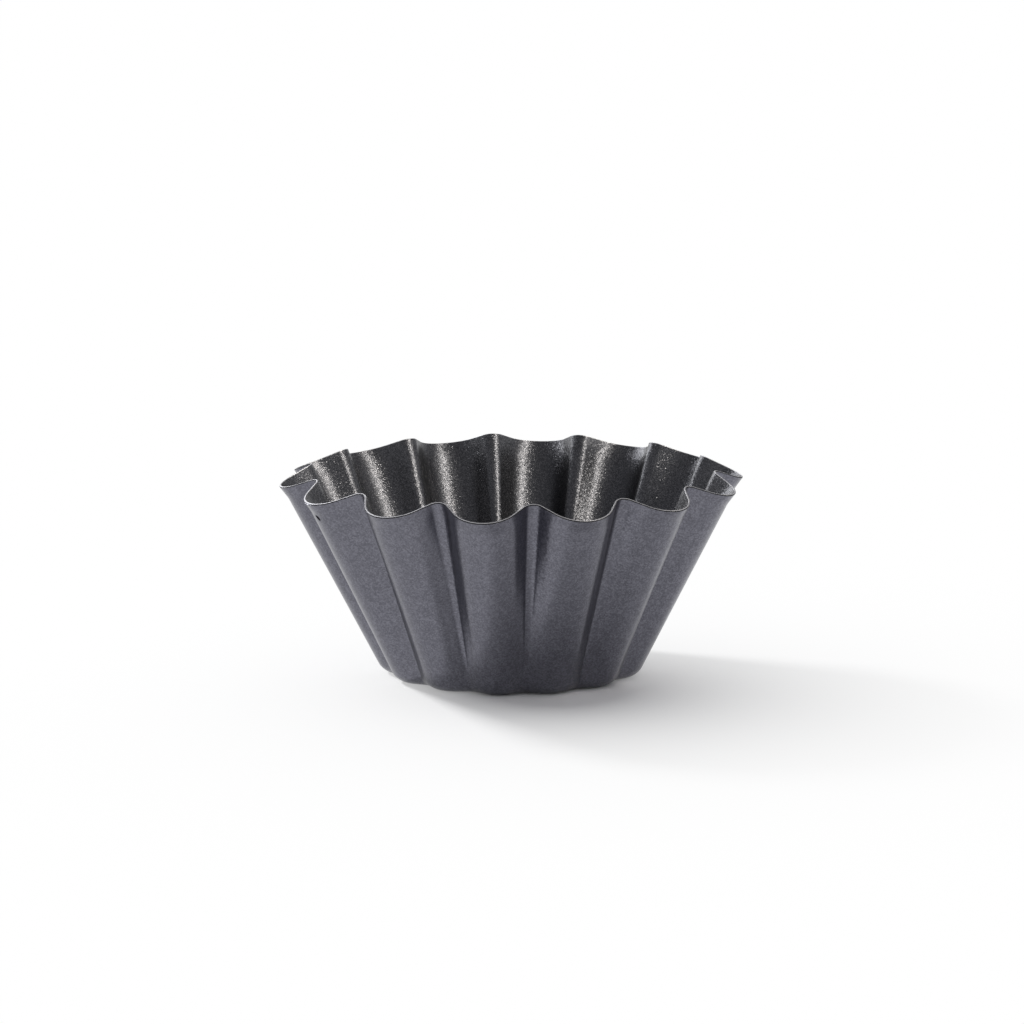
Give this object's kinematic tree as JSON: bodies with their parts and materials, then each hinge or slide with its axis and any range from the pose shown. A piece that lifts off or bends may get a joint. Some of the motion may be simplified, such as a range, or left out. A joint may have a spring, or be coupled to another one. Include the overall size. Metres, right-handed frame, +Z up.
{
  "type": "brioche mould",
  "caption": "Individual fluted brioche mould: a flared round cup of pressed sheet steel with a flat base, a plain wavy rim, a grey coat outside and a dark non-stick coat inside.",
  "frame": {"origin": "middle of the underside, at the height of the surface that the mould stands on", "axes": "+Z up along the axis of the mould, out of its open mouth; -Y is the front, towards the viewer of the picture; +X is to the right"},
  "size_m": [0.0796, 0.0794, 0.0354],
  "materials": {
    "bare_steel": "bare trimmed edge of cold-rolled sheet",
    "outer_coat": "satin mid-grey baked coat with a fine metallic fleck",
    "inner_nonstick_coat": "near-black baked non-stick coat with a metallic sparkle"
  },
  "bodies": {
    "root": {"pressed_steel_shell": "bare_steel", "outer_coat": "outer_coat", "inner_nonstick_coat": "inner_nonstick_coat"}
  },
  "joints": []
}
